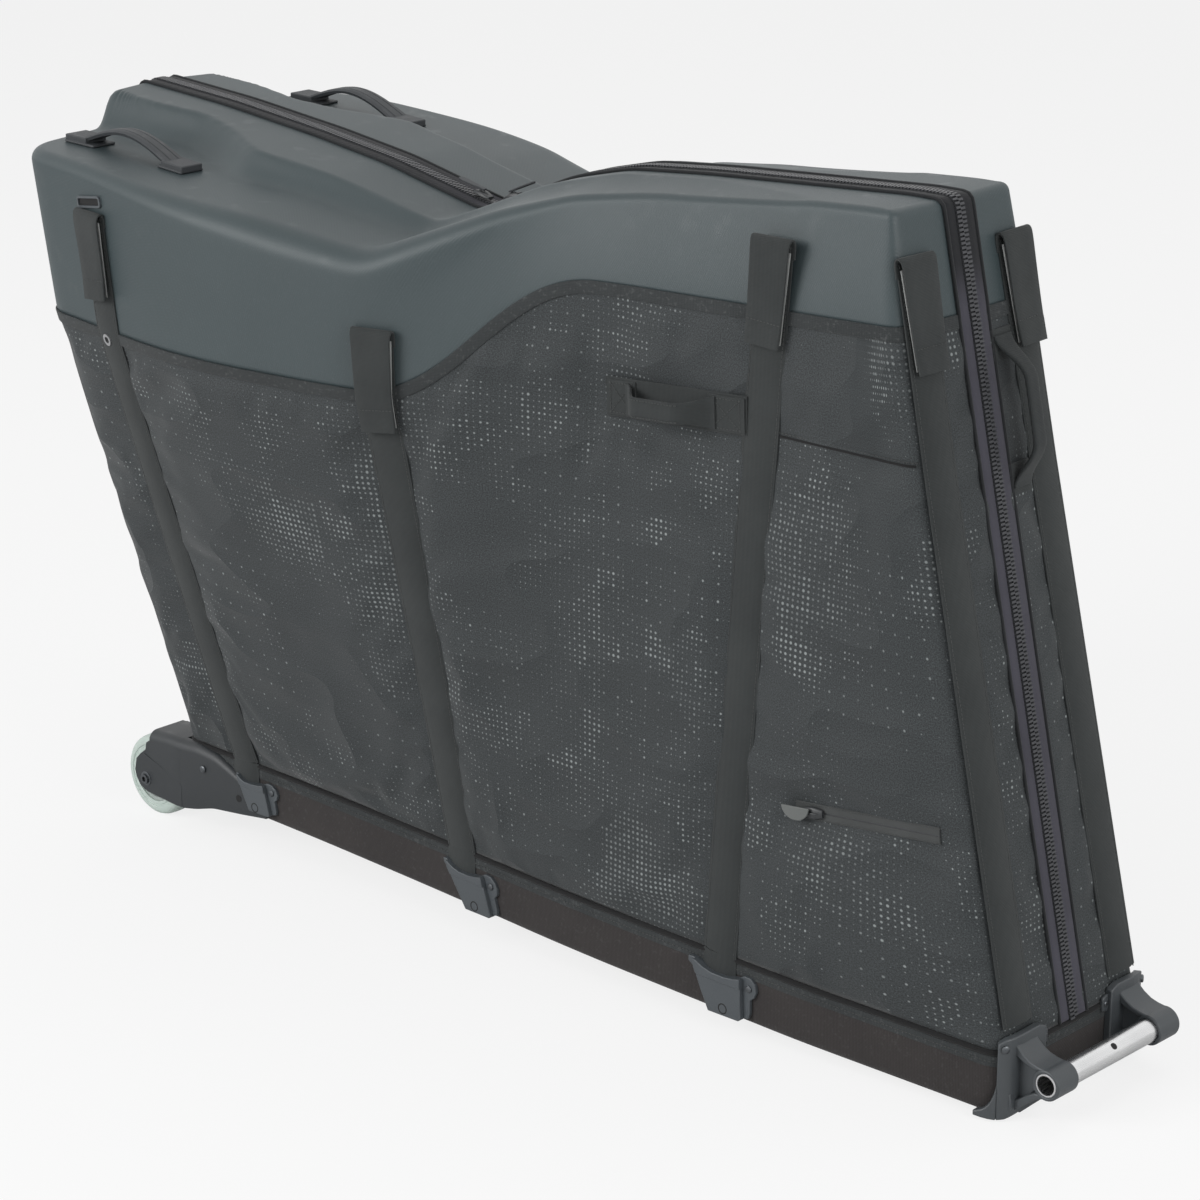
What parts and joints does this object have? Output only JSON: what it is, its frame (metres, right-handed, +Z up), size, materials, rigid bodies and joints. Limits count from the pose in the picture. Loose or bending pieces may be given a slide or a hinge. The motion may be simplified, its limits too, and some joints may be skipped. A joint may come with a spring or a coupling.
{
  "type": "bike travel case",
  "caption": "Wheeled travel case for a bicycle: rigid base with inner stand, two hard-topped padded halves that swing open, tube handle and grab handles.",
  "frame": {"origin": "on the floor, under the middle of the standing case's box", "axes": "+Z up from the floor, +X towards the tube handle end, Y across the case"},
  "size_m": [1.3252, 0.491, 0.8265],
  "materials": {
    "shell_plastic": "matt dark blue-grey sheet, finely ribbed",
    "printed_fabric": "charcoal cloth with a pale dot-grid print",
    "binding": "woven edge tape",
    "zip_cloth": "woven zip tape",
    "zip_teeth": "coil zip chain",
    "webbing": "dark charcoal webbing",
    "rod_plastic": "flat glass-fibre rod",
    "grip_rubber": "soft dark moulding",
    "moulded_plastic": "dark grey moulding",
    "steel": "blackened steel",
    "tyre_rubber": "pale translucent polyurethane",
    "core_plastic": "pale moulding",
    "zip_metal": "black lacquer",
    "cord": "black cord pull",
    "base_cloth": "plain brownish-black cloth",
    "board": "stiff plastic board",
    "bright_tube": "satin aluminium",
    "foam": "closed-cell foam"
  },
  "bodies": {
    "base": {"base_tub": "base_cloth", "base_board": "board", "socket_rivets": "steel", "tube_handle": "bright_tube", "stand_rail": "bright_tube", "bottom_bracket_rest": "foam", "near_rod_sockets": "moulded_plastic", "near_wheel_housing": "moulded_plastic", "near_axle_bolt": "steel", "near_end_bracket": "moulded_plastic", "far_rod_sockets": "moulded_plastic", "far_wheel_housing": "moulded_plastic", "far_axle_bolt": "steel", "far_end_bracket": "moulded_plastic"},
    "near_half": {"near_shell": "shell_plastic", "near_side_panel": "printed_fabric", "near_edge_tape": "binding", "near_zip_tape": "zip_cloth", "near_zip_chain": "zip_teeth", "near_rod_sleeves": "webbing", "near_rods": "rod_plastic", "near_rod_pockets": "webbing", "near_top_handle": "grip_rubber", "near_handle_caps": "moulded_plastic", "near_grab_patch": "webbing", "near_grab_handle": "webbing", "pocket_zip_tape": "zip_cloth"},
    "far_half": {"far_shell": "shell_plastic", "far_side_panel": "printed_fabric", "far_edge_tape": "binding", "far_zip_tape": "zip_cloth", "far_zip_chain": "zip_teeth", "far_rod_sleeves": "webbing", "far_rods": "rod_plastic", "far_rod_pockets": "webbing", "far_top_handle": "grip_rubber", "far_handle_caps": "moulded_plastic", "far_grab_patch": "webbing", "far_grab_handle": "webbing", "end_grab_handle": "webbing"},
    "near_wheel": {"near_tyre": "tyre_rubber", "near_wheel_core": "core_plastic", "near_bearings": "steel"},
    "far_wheel": {"far_tyre": "tyre_rubber", "far_wheel_core": "core_plastic", "far_bearings": "steel"},
    "fork_stand": {"fork_mount": "moulded_plastic", "fork_knob": "moulded_plastic", "fork_axle": "bright_tube"},
    "rear_stand": {"rear_mount": "moulded_plastic", "rear_knob": "moulded_plastic", "rear_axle": "bright_tube"},
    "left_slider": {"zip_slider_left": "zip_metal"},
    "left_pull": {"zip_pull_left": "cord"},
    "right_slider": {"zip_slider_right": "zip_metal"},
    "right_pull": {"zip_pull_right": "cord"},
    "pocket_slider_body": {"pocket_slider": "zip_metal"},
    "pocket_pull_body": {"pocket_pull": "moulded_plastic"}
  },
  "joints": [
    {"name": "near_half_swing", "type": "hinge", "parent": "base", "child": "near_half", "pos_m": [0.03224, -0.1315, 0.08863], "axis": [0.9994, 0, -0.0354], "range_deg": [0, 80]},
    {"name": "far_half_swing", "type": "hinge", "parent": "base", "child": "far_half", "pos_m": [0.03224, 0.1315, 0.08863], "axis": [-0.9994, 0, 0.0354], "range_deg": [0, 80]},
    {"name": "near_wheel_spin", "type": "hinge", "parent": "base", "child": "near_wheel", "pos_m": [-0.60013, -0.096, 0.047], "axis": [0, 1, 0], "continuous": true},
    {"name": "far_wheel_spin", "type": "hinge", "parent": "base", "child": "far_wheel", "pos_m": [-0.60013, 0.096, 0.047], "axis": [0, 1, 0], "continuous": true},
    {"name": "fork_mount_slide", "type": "slide", "parent": "base", "child": "fork_stand", "axis": [0.9994, 0, -0.0354], "range_m": [-0.03, 0.06]},
    {"name": "rear_mount_slide", "type": "slide", "parent": "base", "child": "rear_stand", "axis": [0.9994, 0, -0.0354], "range_m": [-0.06, 0.015]},
    {"name": "zip_slider_left_run", "type": "slide", "parent": "near_half", "child": "left_slider", "axis": [-0.9748, 0, 0.223], "range_m": [0, 0.095]},
    {"name": "zip_pull_left_flip", "type": "hinge", "parent": "left_slider", "child": "left_pull", "pos_m": [-0.13901, 0, 0.75724], "axis": [0, 1, 0], "range_deg": [0, 120]},
    {"name": "zip_slider_right_run", "type": "slide", "parent": "near_half", "child": "right_slider", "axis": [0.9335, 0, 0.3584], "range_m": [0, 0.085]},
    {"name": "zip_pull_right_flip", "type": "hinge", "parent": "right_slider", "child": "right_pull", "pos_m": [-0.1021, 0, 0.75986], "axis": [0, -1, 0], "range_deg": [0, 120]},
    {"name": "pocket_slider_run", "type": "slide", "parent": "near_half", "child": "pocket_slider_body", "axis": [0.9966, 0.0456, 0.0684], "range_m": [0, 0.115]},
    {"name": "pocket_pull_flip", "type": "hinge", "parent": "pocket_slider_body", "child": "pocket_pull_body", "pos_m": [0.39322, -0.12243, 0.25262], "axis": [-0.0695, 0.0246, 0.9973], "range_deg": [0, 110]}
  ]
}
